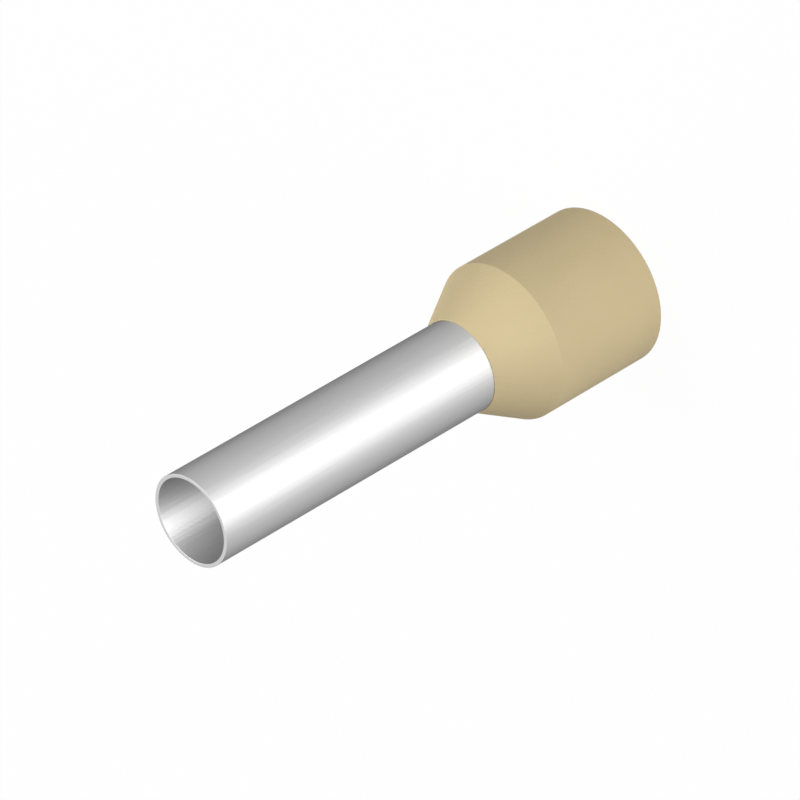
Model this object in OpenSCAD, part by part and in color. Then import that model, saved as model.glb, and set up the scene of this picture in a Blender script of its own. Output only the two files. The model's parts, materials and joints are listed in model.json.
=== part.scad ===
// Insulated wire ferrule for a 10 square millimetre stranded conductor, standing on its collar.
// +Z runs along the sleeve, from the collar's mouth at z = 0 up to the sleeve's tip.
// The collar is a moulded shell. The sleeve is a drawn copper tube pushed through it, and its
// lower end is flared against the cone inside the collar, so the two can't be pulled apart.

/* [Metal sleeve] */
// Inside diameter of the sleeve, which takes the bare strands
sleeve_bore = 4.5; // [3.8:0.1:5.2]
// Wall of the copper tube
sleeve_wall = 0.2; // [0.15:0.01:0.3]
// Length of the sleeve that stands out of the collar
pin_len = 18; // [8:0.5:25]
// Length along the axis of the flare that locks the sleeve in the collar
flare_len = 1.5; // [0.8:0.1:1.7]
// Radius on the sleeve's cut edges, left by tumbling before it is tinned
edge_round = 0.02; // [0.01:0.005:0.07]

/* [Insulating collar] */
// Inside diameter of the skirt, which takes the wire's insulation
collar_bore = 7.6; // [7:0.1:9]
// Wall of the collar, measured square to its surface
collar_wall = 0.4; // [0.3:0.05:0.6]
// Length of the straight skirt
skirt_len = 7; // [5:0.5:10]
// Length of the conical shoulder
cone_len = 3; // [2.4:0.1:4]
// Thickness of the lip in which the shoulder runs out on the sleeve
lip_wall = 0.03; // [0.02:0.01:0.1]
// Radius of the seat inside the shoulder, round which the sleeve is flared
seat_round = 1; // [0.6:0.1:1.5]
// Radius on the outer edges of the shoulder and of the mouth
corner_round = 0.1; // [0.05:0.01:0.15]
// Radius where the inner cone runs out into the skirt
inner_round = 0.6; // [0.3:0.1:1]
// Chamfer that leads the insulation into the mouth
lead_in = 0.1; // [0.05:0.01:0.12]

/* [Fit] */
// Gap between the sleeve and the collar, along the grip and the seat
seat_gap = 0.01; // [0.005:0.005:0.02]

/* [Hidden] */

// Radii of the two walls, and of the grip and lip that hold the sleeve
sleeve_in_r = sleeve_bore / 2;
sleeve_out_r = sleeve_in_r + sleeve_wall;
collar_in_r = collar_bore / 2;
collar_out_r = collar_in_r + collar_wall;
grip_r = sleeve_out_r + seat_gap;
lip_r = grip_r + lip_wall;

// Heights of the shoulder's end and of the sleeve's tip
collar_len = skirt_len + cone_len;
tip_z = collar_len + pin_len;

// Slope of the shoulder to the axis, and its outward normal in the section plane
cone_angle = atan((collar_out_r - lip_r) / cone_len);
cone_normal = [cos(cone_angle), sin(cone_angle)];
cone_reach = cone_normal * [lip_r, collar_len];

// Largest turn of one step of a rounded corner, in degrees
arc_step = 15;
$fn = 128;

// Height at which a cone parallel to the shoulder, and sunk under it, has the given radius
function cone_z(r, depth) = (cone_reach - depth - r * cone_normal.x) / cone_normal.y;

function unit(v) = v / norm(v);
function point(corner) = [corner.x, corner.y];

// Arc of the corner's own radius, tangent to the lines from it to its two neighbours
function corner_arc(before, corner, after) =
    let (
        at = point(corner),
        radius = corner.z,
        back = unit(point(before) - at),
        ahead = unit(point(after) - at),
        half = acos(back * ahead) / 2,
        centre = at + unit(back + ahead) * radius / sin(half),
        first = at + back * radius / tan(half) - centre,
        last = at + ahead * radius / tan(half) - centre,
        start = atan2(first.y, first.x),
        swing = atan2(first.x * last.y - first.y * last.x, first * last),
        steps = ceil(abs(swing) / arc_step)
    )
    [for (i = [0:steps]) centre + radius * [cos(start + swing * i / steps), sin(start + swing * i / steps)]];

// Closed outline through corners written as [radius from the axis, height, corner radius]
function rounded_outline(corners) =
    let (last = len(corners) - 1)
    [
        for (i = [0:last])
            each corners[i].z > 0
                ? corner_arc(corners[i == 0 ? last : i - 1], corners[i], corners[i == last ? 0 : i + 1])
                : [point(corners[i])]
    ];

// Seamless tube of even wall, with its lower end turned outwards along the collar's inner cone
module metal_sleeve() {
    out_depth = collar_wall + seat_gap;
    in_depth = out_depth + sleeve_wall;
    out_bend_z = cone_z(sleeve_out_r, out_depth);
    in_bend_z = cone_z(sleeve_in_r, in_depth);
    flare_out = [sleeve_out_r + flare_len * tan(cone_angle), out_bend_z - flare_len];
    flare_in = flare_out - sleeve_wall * cone_normal;
    bend_round = seat_round + seat_gap;
    color("silver")
        rotate_extrude()
            polygon(rounded_outline([
                [sleeve_out_r, tip_z, edge_round],
                [sleeve_out_r, out_bend_z, bend_round],
                [flare_out.x, flare_out.y, edge_round],
                [flare_in.x, flare_in.y, edge_round],
                [sleeve_in_r, in_bend_z, bend_round + sleeve_wall],
                [sleeve_in_r, tip_z, edge_round]
            ]));
}

// Moulded shell: a straight skirt, a conical shoulder of the same wall, and a short grip on the sleeve
module plastic_collar() {
    color("#C9B78F")
        rotate_extrude()
            polygon(rounded_outline([
                [collar_in_r + lead_in, 0, 0],
                [collar_out_r, 0, corner_round],
                [collar_out_r, skirt_len, corner_round],
                [lip_r, collar_len, 0],
                [grip_r, collar_len, 0],
                [grip_r, cone_z(grip_r, collar_wall), seat_round],
                [collar_in_r, cone_z(collar_in_r, collar_wall), inner_round],
                [collar_in_r, lead_in, 0]
            ]));
}

metal_sleeve();
plastic_collar();
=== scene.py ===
"""An insulated wire ferrule: a tinned copper sleeve flared inside a moulded polypropylene collar.

It is laid out as an add-on. The sidebar panel lists one operator for each piece and one for the stage.
Every length is in metres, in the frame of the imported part: the ferrule stands on the collar's mouth,
with its axis along +Z.
"""

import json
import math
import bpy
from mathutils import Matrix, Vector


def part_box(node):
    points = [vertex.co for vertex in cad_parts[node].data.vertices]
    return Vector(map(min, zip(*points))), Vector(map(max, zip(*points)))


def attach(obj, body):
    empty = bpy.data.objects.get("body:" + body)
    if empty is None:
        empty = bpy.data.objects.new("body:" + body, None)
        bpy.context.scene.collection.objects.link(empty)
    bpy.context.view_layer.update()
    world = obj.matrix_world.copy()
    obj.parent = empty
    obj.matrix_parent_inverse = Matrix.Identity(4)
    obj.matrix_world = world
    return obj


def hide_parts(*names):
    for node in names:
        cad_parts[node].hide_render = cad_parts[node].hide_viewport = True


bl_info = {
    "name": "Wire ferrule",
    "version": (1, 0, 0),
    "blender": (4, 5, 0),
    "location": "3D View > Sidebar > Ferrule",
    "description": "Models a wire ferrule with its finishes, and a plain stage to show it on",
    "category": "Object",
}

import bmesh
import bpy
from bpy.props import FloatProperty, FloatVectorProperty, IntProperty, PointerProperty
from mathutils import Matrix, Vector

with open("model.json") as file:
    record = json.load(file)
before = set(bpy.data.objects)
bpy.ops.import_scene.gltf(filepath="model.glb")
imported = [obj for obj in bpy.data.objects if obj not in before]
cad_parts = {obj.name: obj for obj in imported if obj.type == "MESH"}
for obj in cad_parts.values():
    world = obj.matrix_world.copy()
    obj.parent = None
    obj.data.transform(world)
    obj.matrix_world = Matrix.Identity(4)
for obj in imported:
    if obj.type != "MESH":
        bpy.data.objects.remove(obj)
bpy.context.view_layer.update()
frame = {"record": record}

MM = 0.001

mounts = {mount["name"]: mount for mount in frame["record"]["mounts"]}
collar_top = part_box("plastic_collar")[1]
sleeve_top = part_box("metal_sleeve")[1]


def mount_radius(name):
    """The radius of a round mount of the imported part."""
    return mounts[name]["dims"]["r_mm"] * MM


def linear(code):
    """The linear colour of an sRGB hex code."""
    channels = [int(code[i : i + 2], 16) / 255 for i in (1, 3, 5)]
    return [c / 12.92 if c <= 0.04045 else ((c + 0.055) / 1.055) ** 2.4 for c in channels]


# Settings


def length(name, default, description):
    """A length setting, in metres."""
    return FloatProperty(
        name=name, description=description, default=default, min=0, unit="LENGTH", precision=5
    )


def angle(name, degrees, description):
    """An angle setting, given in degrees and held in radians."""
    return FloatProperty(
        name=name, description=description, default=math.radians(degrees), subtype="ANGLE"
    )


def share(name, default, description):
    """A setting between nothing and all."""
    return FloatProperty(
        name=name, description=description, default=default, min=0, max=1, subtype="FACTOR"
    )


def number(name, default, description, least=0):
    """A setting that is a plain number, no less than least."""
    return FloatProperty(name=name, description=description, default=default, min=least)


def colour(name, code, description):
    """A colour setting, given as an sRGB hex code."""
    return FloatVectorProperty(
        name=name, description=description, default=linear(code), min=0, max=1, size=3, subtype="COLOR"
    )


def bearing(name, degrees, what):
    """Where something stands round the ferrule's axis."""
    return angle(name, degrees, f"Turn of {what} from the camera, towards -X")


def lamp_share(name, default, what):
    """How much light a lamp gives."""
    return share(name, default, f"Share of full white that {what} gives a surface square to it")


def steepness(name, default, what):
    """How steeply a card's lightness changes towards one side: 1 is an even slope."""
    return number(name, default, f"Steepness of {what}", least=1)


class FerruleSizes(bpy.types.PropertyGroup):
    """
    Sizes of the two pieces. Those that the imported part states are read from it, and the others repeat
    the values that it was built with.
    """

    sleeve_radius: length("Sleeve radius", mount_radius("terminal_pin"), "Outside radius of the tube")
    bore_radius: length("Bore radius", mount_radius("conductor_barrel"), "Inside radius of the tube")
    tip_height: length("Tip height", sleeve_top.z, "Height of the sleeve's tip over the collar's mouth")
    flare_length: length("Flare length", 1.5 * MM, "Length of the sleeve's flare along the axis")
    edge_round: length("Edge round", 0.02 * MM, "Radius on the sleeve's cut edges")
    collar_radius: length("Collar radius", collar_top.x, "Outside radius of the skirt")
    skirt_bore: length("Skirt bore", mount_radius("insulation_collar"), "Inside radius of the skirt")
    collar_length: length("Collar length", collar_top.z, "Length of the skirt and the shoulder together")
    cone_length: length("Cone length", 3 * MM, "Length of the conical shoulder")
    lip_wall: length("Lip", 0.03 * MM, "Thickness of the shoulder's lip on the sleeve")
    seat_gap: length("Seat gap", 0.01 * MM, "Gap between the sleeve and the collar")
    seat_round: length("Seat round", 1 * MM, "Radius of the seat that the sleeve is flared round")
    corner_round: length("Corner round", 0.1 * MM, "Radius on the collar's outer edges")
    inner_round: length("Inner round", 0.6 * MM, "Radius where the inner cone meets the skirt")
    lead_in: length("Lead-in", 0.1 * MM, "Chamfer inside the mouth")
    sides: IntProperty(name="Sides", description="Faces round each piece", default=256, min=32, max=512)

    @property
    def sleeve_wall(self):
        """Wall of the copper tube."""
        return self.sleeve_radius - self.bore_radius

    @property
    def collar_wall(self):
        """Wall of the collar, square to its surface."""
        return self.collar_radius - self.skirt_bore

    @property
    def grip_radius(self):
        """Inside radius of the collar where it grips the sleeve."""
        return self.sleeve_radius + self.seat_gap

    @property
    def lip_radius(self):
        """Outside radius of the shoulder where it runs out on the sleeve."""
        return self.grip_radius + self.lip_wall

    @property
    def cone_angle(self):
        """Slope of the shoulder to the axis."""
        return math.atan((self.collar_radius - self.lip_radius) / self.cone_length)

    def cone_height(self, radius, depth):
        """Height, at a radius, of a cone sunk this deep under the shoulder's own."""
        across, along = math.cos(self.cone_angle), math.sin(self.cone_angle)
        reach = across * self.lip_radius + along * self.collar_length
        return (reach - depth - radius * across) / along


class FerruleFinishes(bpy.types.PropertyGroup):
    """Colours, roughness and relief of the two finishes."""

    tin: colour("Tin", "#F1F1F1", "Colour of the tin plating")
    tin_edge: colour("Tin at a glance", "#A4A4A4", "Tint of the tin where it is seen at a glancing angle")
    tin_roughness: share("Tin roughness", 0.34, "Roughness of the plated surface")
    draw_line: length("Drawing line", 0.14 * MM, "Distance between the lines left by drawing the tube")
    plating_grain: length("Plating grain", 0.1 * MM, "Size of the plating's grain")
    tin_relief: length("Tin relief", 0.012 * MM, "Height of the drawing lines and the grain together")
    collar_colour: colour("Collar", "#DCC99D", "Colour of the moulded collar")
    collar_roughness: share("Collar roughness", 0.62, "Roughness of the moulded surface")
    pigment_flow: length("Pigment flow", 2.5 * MM, "Size of the patches of lighter and darker pigment")
    mould_grain: length("Mould grain", 0.11 * MM, "Size of the fine texture that the mould leaves")
    mould_relief: length("Mould relief", 0.014 * MM, "Height of the texture that the mould leaves")


class FerruleStage(bpy.types.PropertyGroup):
    """The camera, the lamps, the floor, and the glowing cards, seen only in reflections, that paint the
    highlights and shades the metal mirrors.
    """

    # Camera
    elevation: angle("Elevation", 35.105, "Height of the camera over the horizon")
    roll: angle("Roll", -120, "Turn of the camera about its line of sight")
    distance: length("Distance", 332.218 * MM, "Distance from the mouth's centre, along the line of sight")
    right: length("Right", 9.949 * MM, "How far right of the picture's centre the mouth's centre lies")
    rise: length("Rise", 5.734 * MM, "How far over the picture's centre the mouth's centre lies")
    lens: number("Lens", 300.95, "Focal length in millimetres", least=1)

    # Lamps and surroundings
    front_azimuth: bearing("Front lamp azimuth", 20, "the front lamp")
    front_elevation: angle("Front lamp elevation", 12, "Height of the front lamp over the horizon")
    front_share: lamp_share("Front light", 0.61, "the front lamp")
    side_azimuth: bearing("Side lamp azimuth", -100, "the side lamp")
    side_elevation: angle("Side lamp elevation", 60, "Height of the side lamp over the horizon")
    side_share: lamp_share("Side light", 0.62, "the side lamp")
    rear_azimuth: bearing("Rear lamp azimuth", 185, "the rear lamp")
    rear_elevation: angle("Rear lamp elevation", 15, "Height of the rear lamp over the horizon")
    rear_share: lamp_share("Rear light", 0.3, "the rear lamp")
    fill_share: share("Fill light", 0.195, "Share of full white that the surroundings give")
    lamp_distance: length("Lamp distance", 0.4, "Distance of the lamps")
    lamp_size: length("Lamp size", 0.24, "Diameter of the lamps")

    # Floor
    floor_white: share("Floor white", 0.97, "Share of the floor's white that no shadow reaches")
    floor_glow: share("Floor glow", 0.3, "Share of full white that the floor itself gives the ferrule")
    floor_bounce: share("Floor bounce", 0.15, "Share of its light that the floor throws back")

    # Glowing card, seen only in reflections, that paints the highlight band and the darker edges on the
    # outside of the sleeve, and its glowing lid
    card_radius: length("Card radius", 14 * MM, "Radius of the grey card")
    card_foot: length("Card foot", 4.3 * MM, "Radius to which the grey card is drawn in on the floor")
    card_bend: length("Card bend", 10 * MM, "Height at which the grey card starts to draw in")
    card_head: length("Card head", 34 * MM, "Height of the grey card and its lid")
    card_base: share("Card base", 0.35, "Lightness that the grey card has all round")
    # The slope and the crests are painted highlights that the sleeve mirrors
    slope_azimuth: bearing("Slope azimuth", 10, "the slope's lightest side")
    slope_light: share("Slope light", 0.25, "Lightness added evenly towards that side of the grey card")
    crest_azimuth: bearing("Crest azimuth", 14, "the grey card's crest")
    crest_light: share("Crest light", 0.7, "Lightness added more and more steeply towards the crest")
    crest_sharpness: steepness("Crest sharpness", 10.5, "the grey card's crest")
    rear_crest_azimuth: bearing("Rear crest azimuth", 180, "the crest behind the ferrule")
    rear_crest_light: share("Rear crest light", 0.3, "Lightness added towards that crest")
    rear_crest_sharpness: steepness("Rear crest sharpness", 30, "the crest behind the ferrule")
    card_foot_share: share("Card foot share", 0.955, "Share of its lightness that it has at its foot")
    card_head_share: number("Card head share", 1.055, "Share of its lightness that it has at its head")
    # The lid's glow is a painted grey that the sleeve's cut tip mirrors
    lid_light: share("Lid", 0.7, "Lightness of the lid, which the cut tip mirrors")

    # Glowing card inside the bore, seen only in reflections, that paints a bright band and a shade on the
    # bore's wall
    bore_foot: length("Bore card foot", 19 * MM, "Height of the foot of the card inside the bore")
    bore_gap: length("Bore card gap", 0.05 * MM, "Gap between that card and the bore")
    bore_head_gap: length("Bore card head gap", 0.2 * MM, "Distance from the head of that card to the tip")
    bore_base: share("Bore card base", 0.311, "Lightness that it has all round")
    bore_azimuth: bearing("Bore card azimuth", 22.3, "its lightest side")
    bore_crest: share("Bore card crest", 0.874, "Lightness added steeply towards its lightest side")
    bore_sharpness: steepness("Bore card sharpness", 5.465, "its crest")
    bore_shade_azimuth: bearing("Bore shade azimuth", -173, "its darkest side")
    bore_shade: share("Bore shade", 0.149, "Lightness taken away steeply towards its darkest side")
    bore_shade_sharpness: steepness("Bore shade sharpness", 3.232, "its shade")
    bore_foot_share: share("Bore card foot share", 0.05, "Share of its lightness that it has at its foot")
    bore_head_share: number("Bore card head share", 1.62, "Share of its lightness that it has at its head")


# Modelling

# Two places closer than this are the same place
NEAR = 0.001 * MM
# Faces along the flare's bend, and along the seat that it is bent round
BEND_STEPS = 8
# Faces along the round of each of the sleeve's cut edges
CUT_STEPS = 5
# Faces along the rounds of the collar's mouth, shoulder and inner cone
MOUTH_STEPS = 6
SHOULDER_STEPS = 4
INNER_STEPS = 6
# Edges at which a surface turns by less than this are shaded smooth
SMOOTH_BELOW = math.radians(35)
# How strongly the larger faces set the shading: 50 is evenly, and 100 is the most
LARGE_FACE_WEIGHT = 100


def begin_tube(name, radius, foot, head, sides):
    """Add an open cylinder between two heights, and go into edit mode."""
    bpy.ops.object.select_all(action="DESELECT")
    bpy.ops.mesh.primitive_cylinder_add(
        vertices=sides,
        radius=radius,
        depth=head - foot,
        end_fill_type="NOTHING",
        location=(0, 0, (foot + head) / 2),
    )
    piece = bpy.context.object
    piece.name = name
    piece.data.name = name
    bpy.ops.object.transform_apply(location=True, rotation=False, scale=False)
    bpy.ops.object.mode_set(mode="EDIT")
    bpy.ops.mesh.select_mode(type="EDGE")
    return piece


def on_ring(point, ring):
    """Whether a point lies on a ring round the axis, given as its (radius, height)."""
    radius, height = ring
    return abs(point.xy.length - radius) < NEAR and abs(point.z - height) < NEAR


def select_rings(piece, *rings):
    """Select only the edges that lie on these rings, each a (radius, height)."""
    bpy.ops.mesh.select_all(action="DESELECT")
    mesh = bmesh.from_edit_mesh(piece.data)
    found = 0
    for edge in mesh.edges:
        if any(all(on_ring(end.co, ring) for end in edge.verts) for ring in rings):
            edge.select_set(True)
            found += 1
    bmesh.update_edit_mesh(piece.data)
    if not found:
        raise RuntimeError(f"{piece.name} has no ring at {rings}")


def draw_rings(piece, start, *stops):
    """Extrude the ring at start from stop to stop, each a (radius, height)."""
    select_rings(piece, start)
    radius, height = start
    for to_radius, to_height in stops:
        growth = to_radius / radius
        bpy.ops.mesh.extrude_edges_move(TRANSFORM_OT_translate={"value": (0, 0, to_height - height)})
        bpy.ops.transform.resize(value=(growth, growth, 1), center_override=(0, 0, to_height))
        radius, height = to_radius, to_height


def round_ring(piece, ring, radius, turn, steps):
    """Round the edge at a ring to a radius. turn is the angle that the surface turns through there."""
    select_rings(piece, ring)
    bpy.ops.mesh.bevel(
        offset_type="OFFSET",
        offset=radius * math.tan(turn / 2),
        segments=steps,
        profile=0.5,
        affect="EDGES",
        clamp_overlap=False,
    )


def apply_modifier(kind, **settings):
    """Add a modifier to the active object with these settings, and apply it."""
    bpy.ops.object.modifier_add(type=kind)
    modifier = bpy.context.object.modifiers[-1]
    for name, value in settings.items():
        setattr(modifier, name, value)
    bpy.ops.object.modifier_apply(modifier=modifier.name)


def finish_piece(piece, node, material):
    """Smooth a piece's shading, dress it, and let it stand for its node."""
    bpy.ops.object.shade_smooth_by_angle(angle=SMOOTH_BELOW)
    apply_modifier("WEIGHTED_NORMAL", keep_sharp=True, weight=LARGE_FACE_WEIGHT)
    piece.data.materials.clear()
    piece.data.materials.append(material)
    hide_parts(node)
    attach(piece, "root")


def model_sleeve(sizes):
    """The sleeve: a drawn tube, its lower end flared round the collar's seat, its cut edges broken."""
    bend_height = sizes.cone_height(sizes.sleeve_radius, sizes.collar_wall + sizes.seat_gap)
    bend = (sizes.sleeve_radius, bend_height)
    spread = sizes.flare_length * math.tan(sizes.cone_angle)
    flare = (sizes.sleeve_radius + spread, bend_height - sizes.flare_length)
    piece = begin_tube("tinned_sleeve", sizes.sleeve_radius, bend_height, sizes.tip_height, sizes.sides)
    draw_rings(piece, bend, flare)
    round_ring(piece, bend, sizes.seat_round + sizes.seat_gap, sizes.cone_angle, BEND_STEPS)
    bpy.ops.mesh.select_all(action="SELECT")
    bpy.ops.mesh.normals_make_consistent(inside=False)
    bpy.ops.object.mode_set(mode="OBJECT")
    apply_modifier("SOLIDIFY", thickness=sizes.sleeve_wall, offset=-1, use_even_offset=True, use_rim=True)
    bpy.ops.object.mode_set(mode="EDIT")
    wall_across = sizes.sleeve_wall * math.cos(sizes.cone_angle)
    wall_along = sizes.sleeve_wall * math.sin(sizes.cone_angle)
    rims = [
        (sizes.sleeve_radius, sizes.tip_height),
        (sizes.bore_radius, sizes.tip_height),
        flare,
        (flare[0] - wall_across, flare[1] - wall_along),
    ]
    for rim in rims:
        round_ring(piece, rim, sizes.edge_round, math.pi / 2, CUT_STEPS)
    bpy.ops.object.mode_set(mode="OBJECT")
    return piece


def model_collar(sizes):
    """The collar: a moulded shell, drawn ring by ring from the skirt over the lip and back down inside."""
    shoulder = (sizes.collar_radius, sizes.collar_length - sizes.cone_length)
    mouth = (sizes.collar_radius, 0)
    inner_mouth = (sizes.skirt_bore + sizes.lead_in, 0)
    grip_end = (sizes.grip_radius, sizes.cone_height(sizes.grip_radius, sizes.collar_wall))
    inner_shoulder = (sizes.skirt_bore, sizes.cone_height(sizes.skirt_bore, sizes.collar_wall))
    piece = begin_tube("moulded_collar", sizes.collar_radius, 0, shoulder[1], sizes.sides)
    draw_rings(
        piece,
        shoulder,
        (sizes.lip_radius, sizes.collar_length),
        (sizes.grip_radius, sizes.collar_length),
        grip_end,
        inner_shoulder,
        (sizes.skirt_bore, sizes.lead_in),
        inner_mouth,
    )
    select_rings(piece, mouth, inner_mouth)
    bpy.ops.mesh.bridge_edge_loops()
    bpy.ops.mesh.select_all(action="SELECT")
    bpy.ops.mesh.normals_make_consistent(inside=False)
    round_ring(piece, mouth, sizes.corner_round, math.pi / 2, MOUTH_STEPS)
    round_ring(piece, shoulder, sizes.corner_round, sizes.cone_angle, SHOULDER_STEPS)
    round_ring(piece, grip_end, sizes.seat_round, sizes.cone_angle, BEND_STEPS)
    round_ring(piece, inner_shoulder, sizes.inner_round, sizes.cone_angle, INNER_STEPS)
    bpy.ops.object.mode_set(mode="OBJECT")
    return piece


# Materials

# Most of a noise texture's values lie between these
NOISE_SPAN = {"From Min": 0.3, "From Max": 0.7}
# How far the roughness of each finish goes up and down with its relief
ROUGHNESS_SPREAD = 0.05
# How many times longer than wide the drawing lines are
LINE_STRETCH = 40
# Share of grain in the plating's relief; the rest is drawing lines
GRAIN_SHARE = 0.35
# How much lighter and darker the pigment's patches are than its colour
PIGMENT_SPREAD = 0.015
POLYPROPYLENE_IOR = 1.49
# Half of the gloss that this IOR gives by itself, which matches the satin skin
SKIN_GLOSS = 0.25
# Light that enters the skin: its share, how far it goes, and the reach of red, green and blue in that
SKIN_GLOW = 0.1
GLOW_DEPTH = 0.3 * MM
GLOW_REACH = (1.0, 0.8, 0.5)


def add_node(tree, kind, inputs=None, **settings):
    """Add a shader node, with its settings, and give each input a value or a link from a socket."""
    node = tree.nodes.new(kind)
    for name, value in settings.items():
        setattr(node, name, value)
    for name, value in (inputs or {}).items():
        if isinstance(value, bpy.types.NodeSocket):
            tree.links.new(value, node.inputs[name])
        else:
            node.inputs[name].default_value = value
    return node


def new_material(name):
    """An empty node material and its tree."""
    material = bpy.data.materials.new(name)
    material.use_nodes = True
    material.node_tree.nodes.clear()
    return material, material.node_tree


def tinned_copper(finishes):
    """Matt tin plated on drawn copper tube, then tumbled: it mirrors softly, along faint drawing lines."""
    material, tree = new_material("tinned_copper")
    place = add_node(tree, "ShaderNodeTexCoord").outputs["Object"]
    # Real drawing lines and grain are some hundredths of a millimetre apart and a few thousandths high;
    # they are drawn coarser and higher so that they show
    across, along = 1 / finishes.draw_line, 1 / (LINE_STRETCH * finishes.draw_line)
    stretched = add_node(tree, "ShaderNodeMapping", {"Vector": place, "Scale": (across, across, along)})
    lines = add_node(
        tree,
        "ShaderNodeTexNoise",
        {"Vector": stretched.outputs["Vector"], "Scale": 1, "Detail": 3, "Roughness": 0.6},
    ).outputs["Fac"]
    grain = add_node(
        tree, "ShaderNodeTexNoise", {"Vector": place, "Scale": 1 / finishes.plating_grain, "Detail": 2}
    ).outputs["Fac"]
    relief = add_node(
        tree, "ShaderNodeMix", {"Factor": GRAIN_SHARE, "A": lines, "B": grain}, data_type="FLOAT"
    ).outputs["Result"]
    roughness = add_node(
        tree,
        "ShaderNodeMapRange",
        {
            **NOISE_SPAN,
            "Value": relief,
            "To Min": finishes.tin_roughness - ROUGHNESS_SPREAD,
            "To Max": finishes.tin_roughness + ROUGHNESS_SPREAD,
        },
    )
    bump = add_node(
        tree, "ShaderNodeBump", {"Height": relief, "Strength": 1, "Distance": finishes.tin_relief}
    )
    shader = add_node(
        tree,
        "ShaderNodeBsdfPrincipled",
        {
            "Base Color": (*finishes.tin, 1),
            "Metallic": 1,
            "Specular Tint": (*finishes.tin_edge, 1),
            "Roughness": roughness.outputs["Result"],
            "Normal": bump.outputs["Normal"],
        },
    )
    add_node(tree, "ShaderNodeOutputMaterial", {"Surface": shader.outputs["BSDF"]})
    return material


def moulded_polypropylene(finishes):
    """Pigmented polypropylene from a spark-eroded mould: a satin skin, and a trace of light let in."""
    material, tree = new_material("moulded_polypropylene")
    place = add_node(tree, "ShaderNodeTexCoord").outputs["Object"]
    # The grain of such a mould is finer and lower than this; it is drawn coarser and higher to show
    grain = add_node(
        tree,
        "ShaderNodeTexNoise",
        {"Vector": place, "Scale": 1 / finishes.mould_grain, "Detail": 3, "Roughness": 0.55},
    ).outputs["Fac"]
    # Pigment flows unevenly over a few millimetres as the mould fills
    flow = add_node(
        tree, "ShaderNodeTexNoise", {"Vector": place, "Scale": 1 / finishes.pigment_flow, "Detail": 2}
    ).outputs["Fac"]
    tone = add_node(
        tree,
        "ShaderNodeMapRange",
        {**NOISE_SPAN, "Value": flow, "To Min": 1 - PIGMENT_SPREAD, "To Max": 1 + PIGMENT_SPREAD},
    )
    pigment = add_node(
        tree,
        "ShaderNodeHueSaturation",
        {"Color": (*finishes.collar_colour, 1), "Value": tone.outputs["Result"]},
    )
    roughness = add_node(
        tree,
        "ShaderNodeMapRange",
        {
            **NOISE_SPAN,
            "Value": grain,
            "To Min": finishes.collar_roughness - ROUGHNESS_SPREAD,
            "To Max": finishes.collar_roughness + ROUGHNESS_SPREAD,
        },
    )
    bump = add_node(
        tree, "ShaderNodeBump", {"Height": grain, "Strength": 1, "Distance": finishes.mould_relief}
    )
    shader = add_node(
        tree,
        "ShaderNodeBsdfPrincipled",
        {
            "Base Color": pigment.outputs["Color"],
            "IOR": POLYPROPYLENE_IOR,
            "Specular IOR Level": SKIN_GLOSS,
            "Roughness": roughness.outputs["Result"],
            "Normal": bump.outputs["Normal"],
            "Subsurface Weight": SKIN_GLOW,
            "Subsurface Radius": GLOW_REACH,
            "Subsurface Scale": GLOW_DEPTH,
        },
    )
    add_node(tree, "ShaderNodeOutputMaterial", {"Surface": shader.outputs["BSDF"]})
    return material


def seen_directly(tree):
    """1 for what the camera, a mirror or glass sees, and 0 for what only lights other surfaces."""
    path = add_node(tree, "ShaderNodeLightPath")
    mirrored = add_node(
        tree,
        "ShaderNodeMath",
        {0: path.outputs["Is Camera Ray"], 1: path.outputs["Is Glossy Ray"]},
        operation="MAXIMUM",
    )
    return add_node(
        tree,
        "ShaderNodeMath",
        {0: mirrored.outputs["Value"], 1: path.outputs["Is Transmission Ray"]},
        operation="MAXIMUM",
    ).outputs["Value"]


def white_paper(white, glow, bounce):
    """
    Backlit white paper for the floor. Where it is seen, the share white of it is its own light, and
    the rest takes the shadow. To other surfaces it gives less: the share glow of its own, and the
    share bounce of what falls on it.
    """
    material, tree = new_material("white_paper")
    seen = seen_directly(tree)
    own = add_node(tree, "ShaderNodeMapRange", {"Value": seen, "To Min": glow, "To Max": white})
    grey = add_node(tree, "ShaderNodeMapRange", {"Value": seen, "To Min": bounce, "To Max": PAPER_WHITE})
    lit = add_node(tree, "ShaderNodeBsdfDiffuse", {"Color": grey.outputs["Result"]})
    light = add_node(tree, "ShaderNodeEmission", {"Color": (1, 1, 1, 1), "Strength": 1})
    paper = add_node(
        tree,
        "ShaderNodeMixShader",
        {0: own.outputs["Result"], 1: lit.outputs["BSDF"], 2: light.outputs["Emission"]},
    )
    add_node(tree, "ShaderNodeOutputMaterial", {"Surface": paper.outputs["Shader"]})
    return material


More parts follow.
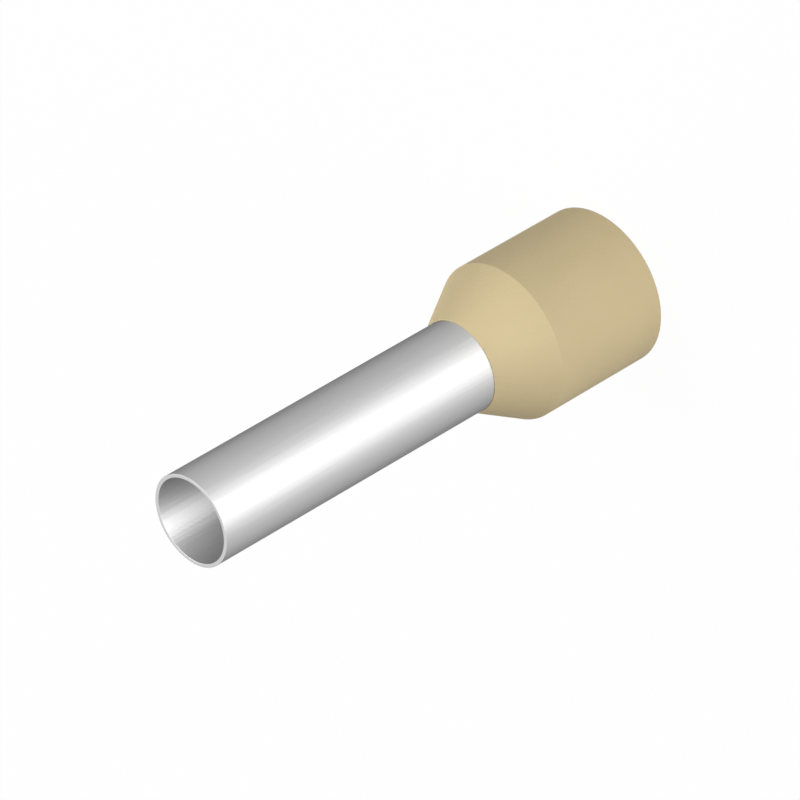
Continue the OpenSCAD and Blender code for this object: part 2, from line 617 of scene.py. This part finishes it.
def graded_glow_material(name, base, crests, fade):
    """
    Glowing card round the axis, seen only in reflections, that paints a graded reflection: it glows
    as light as base all round. Each crest adds a painted highlight at an azimuth, or takes glow away as
    painted shade, and falls off round the axis by its sharpness: 1 is an even slope to the far side.
    fade gives the shares of that which the card has at two heights. Only its inner face shows.
    """
    material, tree = new_material(name)
    place = add_node(tree, "ShaderNodeTexCoord").outputs["Object"]
    height = add_node(tree, "ShaderNodeSeparateXYZ", {"Vector": place}).outputs["Z"]
    (foot, foot_share), (head, head_share) = fade
    faded_by = add_node(
        tree,
        "ShaderNodeMapRange",
        {"Value": height, "From Min": foot, "From Max": head, "To Min": foot_share, "To Max": head_share},
    )
    level = add_node(tree, "ShaderNodeVectorMath", {0: place, 1: (1, 1, 0)}, operation="MULTIPLY")
    outward = add_node(tree, "ShaderNodeVectorMath", {0: level.outputs["Vector"]}, operation="NORMALIZE")
    light = base
    for azimuth, added, sharpness in crests:
        across = add_node(
            tree,
            "ShaderNodeVectorMath",
            {0: outward.outputs["Vector"], 1: (-math.sin(azimuth), -math.cos(azimuth), 0)},
            operation="DOT_PRODUCT",
        )
        near = add_node(
            tree, "ShaderNodeMapRange", {"Value": across.outputs["Value"], "From Min": -1, "From Max": 1}
        )
        peak = add_node(
            tree, "ShaderNodeMath", {0: near.outputs["Result"], 1: sharpness}, operation="POWER"
        )
        light = add_node(
            tree,
            "ShaderNodeMath",
            {0: peak.outputs["Value"], 1: added, 2: light},
            operation="MULTIPLY_ADD",
        ).outputs["Value"]
    faded = add_node(
        tree, "ShaderNodeMath", {0: light, 1: faded_by.outputs["Result"]}, operation="MULTIPLY"
    )
    glow_from_inner_face(tree, faded.outputs["Value"])
    return material


def plain_glow_material(name, lightness):
    """Card that glows evenly at one lightness, of which only the inner face shows."""
    material, tree = new_material(name)
    glow_from_inner_face(tree, lightness)
    return material


def glow_from_inner_face(tree, lightness):
    """Make a card glow at this lightness where its back face is seen, and leave its front face clear."""
    glow = add_node(tree, "ShaderNodeEmission", {"Color": (1, 1, 1, 1), "Strength": lightness})
    clear = add_node(tree, "ShaderNodeBsdfTransparent")
    side = add_node(tree, "ShaderNodeNewGeometry").outputs["Backfacing"]
    card = add_node(
        tree, "ShaderNodeMixShader", {0: side, 1: clear.outputs["BSDF"], 2: glow.outputs["Emission"]}
    )
    add_node(tree, "ShaderNodeOutputMaterial", {"Surface": card.outputs["Shader"]})


# Stage

# Side of the square floor
FLOOR_SIZE = 4
# Share of the light that white paper throws back where it is seen
PAPER_WHITE = 0.95
# Faces round each card
CARD_SIDES = 96
# Width of the camera's sensor, in millimetres
SENSOR_WIDTH = 36
# Distances from the camera between which things are drawn
CLIP_NEAR = 0.01
CLIP_FAR = 10


def lay_floor(stage):
    """A sheet of white paper under the ferrule."""
    bpy.ops.object.select_all(action="DESELECT")
    bpy.ops.mesh.primitive_plane_add(size=FLOOR_SIZE, location=(0, 0, 0))
    floor = bpy.context.object
    floor.name = "floor"
    floor.data.materials.append(white_paper(stage.floor_white, stage.floor_glow, stage.floor_bounce))


def set_card(card, material):
    """Make a glowing card one that only polished surfaces mirror, so that it paints their reflections and
    lights nothing else.
    """
    card.data.materials.append(material)
    card.visible_camera = False
    card.visible_diffuse = False
    card.visible_transmission = False
    card.visible_shadow = False


def stand_outer_glow(stage):
    """A round glowing card with a glowing lid, drawn in on the floor to the ferrule's foot: the sleeve's
    outside mirrors it as a painted highlight band and darker edges.
    """
    wall = begin_tube("outer_glow_sheet", stage.card_radius, stage.card_bend, stage.card_head, CARD_SIDES)
    draw_rings(wall, (stage.card_radius, stage.card_bend), (stage.card_foot, 0))
    bpy.ops.object.mode_set(mode="OBJECT")
    # Painted highlights mirrored on the sleeve: an even slope and a steep crest in front, and a narrow
    # crest behind
    crests = (
        (stage.slope_azimuth, stage.slope_light, 1),
        (stage.crest_azimuth, stage.crest_light, stage.crest_sharpness),
        (stage.rear_crest_azimuth, stage.rear_crest_light, stage.rear_crest_sharpness),
    )
    fade = ((0, stage.card_foot_share), (stage.card_head, stage.card_head_share))
    set_card(wall, graded_glow_material("outer_glow_sheet", stage.card_base, crests, fade))
    bpy.ops.object.select_all(action="DESELECT")
    # A lid that glows evenly, a painted grey that the sleeve's cut tip mirrors
    bpy.ops.mesh.primitive_circle_add(
        vertices=CARD_SIDES, radius=stage.card_radius, fill_type="NGON", location=(0, 0, stage.card_head)
    )
    lid = bpy.context.object
    lid.name = "lid_glow_sheet"
    set_card(lid, plain_glow_material("lid_glow_sheet", stage.lid_light))


def stand_bore_glow(stage, sizes):
    """A glowing card inside the bore that paints a bright band and a shade into what the bore's wall
    mirrors, lighter towards the tip.
    """
    foot, head = stage.bore_foot, sizes.tip_height - stage.bore_head_gap
    card = begin_tube("bore_glow_sheet", sizes.bore_radius - stage.bore_gap, foot, head, CARD_SIDES)
    bpy.ops.object.mode_set(mode="OBJECT")
    # A painted highlight crest on one side, and a painted shade on the far side
    crests = (
        (stage.bore_azimuth, stage.bore_crest, stage.bore_sharpness),
        (stage.bore_shade_azimuth, -stage.bore_shade, stage.bore_shade_sharpness),
    )
    fade = ((foot, stage.bore_foot_share), (head, stage.bore_head_share))
    set_card(card, graded_glow_material("bore_glow_sheet", stage.bore_base, crests, fade))


def hang_lamp(name, stage, azimuth, elevation, light):
    """A round soft box aimed at the middle of the ferrule."""
    towards = Vector(
        (
            -math.sin(azimuth) * math.cos(elevation),
            -math.cos(azimuth) * math.cos(elevation),
            math.sin(elevation),
        )
    )
    data = bpy.data.lights.new(name, "AREA")
    data.shape = "DISK"
    data.size = stage.lamp_size
    # A lamp of this power gives white paper that faces it the stated share of full white
    data.energy = light * math.pi**2 * stage.lamp_distance**2
    lamp = bpy.data.objects.new(name, data)
    lamp.location = Vector((0, 0, sleeve_top.z / 2)) + towards * stage.lamp_distance
    lamp.rotation_mode = "QUATERNION"
    lamp.rotation_quaternion = towards.to_track_quat("Z", "Y")
    bpy.context.scene.collection.objects.link(lamp)
    return lamp


def fill_surroundings(stage):
    """White surroundings where they are seen, and an even fill light."""
    world = bpy.data.worlds.new("surroundings")
    world.use_nodes = True
    tree = world.node_tree
    tree.nodes.clear()
    fill = add_node(tree, "ShaderNodeBackground", {"Color": (1, 1, 1, 1), "Strength": stage.fill_share})
    white = add_node(tree, "ShaderNodeBackground", {"Color": (1, 1, 1, 1), "Strength": 1})
    both = add_node(
        tree,
        "ShaderNodeMixShader",
        {0: seen_directly(tree), 1: fill.outputs["Background"], 2: white.outputs["Background"]},
    )
    add_node(tree, "ShaderNodeOutputWorld", {"Surface": both.outputs["Shader"]})
    bpy.context.scene.world = world


def set_camera(stage):
    """The camera, rolled so that the ferrule's tip points down to the left of the picture."""
    back = Vector((0, -math.cos(stage.elevation), math.sin(stage.elevation)))
    level_right = Vector((1, 0, 0))
    level_up = back.cross(level_right)
    right = level_right * math.cos(stage.roll) + level_up * math.sin(stage.roll)
    up = level_up * math.cos(stage.roll) - level_right * math.sin(stage.roll)
    data = bpy.data.cameras.new("camera")
    data.sensor_width = SENSOR_WIDTH
    data.lens = stage.lens
    data.clip_start = CLIP_NEAR
    data.clip_end = CLIP_FAR
    camera = bpy.data.objects.new("camera", data)
    turned = Matrix((right, up, back)).transposed()
    camera.matrix_world = turned.to_4x4()
    camera.location = back * stage.distance - right * stage.right - up * stage.rise
    bpy.context.scene.collection.objects.link(camera)
    bpy.context.scene.camera = camera


# Operators


class FERRULE_OT_metal_sleeve(bpy.types.Operator):
    """Model the flared copper sleeve and plate it with tin"""

    bl_idname = "ferrule.metal_sleeve"
    bl_label = "Metal sleeve"
    bl_options = {"REGISTER", "UNDO"}

    def execute(self, context):
        piece = model_sleeve(context.scene.ferrule_sizes)
        material = tinned_copper(context.scene.ferrule_finishes)
        finish_piece(piece, "metal_sleeve", material)
        return {"FINISHED"}


class FERRULE_OT_plastic_collar(bpy.types.Operator):
    """Model the moulded collar that holds the sleeve"""

    bl_idname = "ferrule.plastic_collar"
    bl_label = "Plastic collar"
    bl_options = {"REGISTER", "UNDO"}

    def execute(self, context):
        piece = model_collar(context.scene.ferrule_sizes)
        material = moulded_polypropylene(context.scene.ferrule_finishes)
        finish_piece(piece, "plastic_collar", material)
        return {"FINISHED"}


class FERRULE_OT_stage(bpy.types.Operator):
    """Lay the floor, stand the glowing cards that paint the metal's reflections, hang the lamps and set
    the camera
    """

    bl_idname = "ferrule.stage"
    bl_label = "Stage"
    bl_options = {"REGISTER", "UNDO"}

    def execute(self, context):
        stage = context.scene.ferrule_stage
        context.scene.view_settings.view_transform = "Standard"
        lay_floor(stage)
        stand_outer_glow(stage)
        stand_bore_glow(stage, context.scene.ferrule_sizes)
        hang_lamp("front_lamp", stage, stage.front_azimuth, stage.front_elevation, stage.front_share)
        hang_lamp("side_lamp", stage, stage.side_azimuth, stage.side_elevation, stage.side_share)
        rear_lamp = hang_lamp(
            "rear_lamp", stage, stage.rear_azimuth, stage.rear_elevation, stage.rear_share
        )
        # It only lightens the collar's back, and leaves no glint on the metal
        rear_lamp.visible_glossy = False
        fill_surroundings(stage)
        set_camera(stage)
        return {"FINISHED"}


class FERRULE_PT_panel(bpy.types.Panel):
    """Lists the ferrule's pieces and the stage"""

    bl_idname = "FERRULE_PT_panel"
    bl_label = "Wire ferrule"
    bl_space_type = "VIEW_3D"
    bl_region_type = "UI"
    bl_category = "Ferrule"

    def draw(self, context):
        for operator in operators:
            self.layout.operator(operator.bl_idname)


groups = {
    "ferrule_sizes": FerruleSizes,
    "ferrule_finishes": FerruleFinishes,
    "ferrule_stage": FerruleStage,
}
operators = (FERRULE_OT_stage, FERRULE_OT_metal_sleeve, FERRULE_OT_plastic_collar)


def register():
    """Register the classes, and give each scene the settings."""
    for part in (*groups.values(), *operators, FERRULE_PT_panel):
        bpy.utils.register_class(part)
    for name, group in groups.items():
        setattr(bpy.types.Scene, name, PointerProperty(type=group))


def unregister():
    """Take the settings and the classes away again, last first."""
    for name in groups:
        delattr(bpy.types.Scene, name)
    for part in (FERRULE_PT_panel, *reversed(operators), *reversed(groups.values())):
        bpy.utils.unregister_class(part)


def main():
    """Set the stage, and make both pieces."""
    register()
    bpy.ops.ferrule.stage()
    bpy.ops.ferrule.metal_sleeve()
    bpy.ops.ferrule.plastic_collar()


if __name__ == "__main__":
    main()
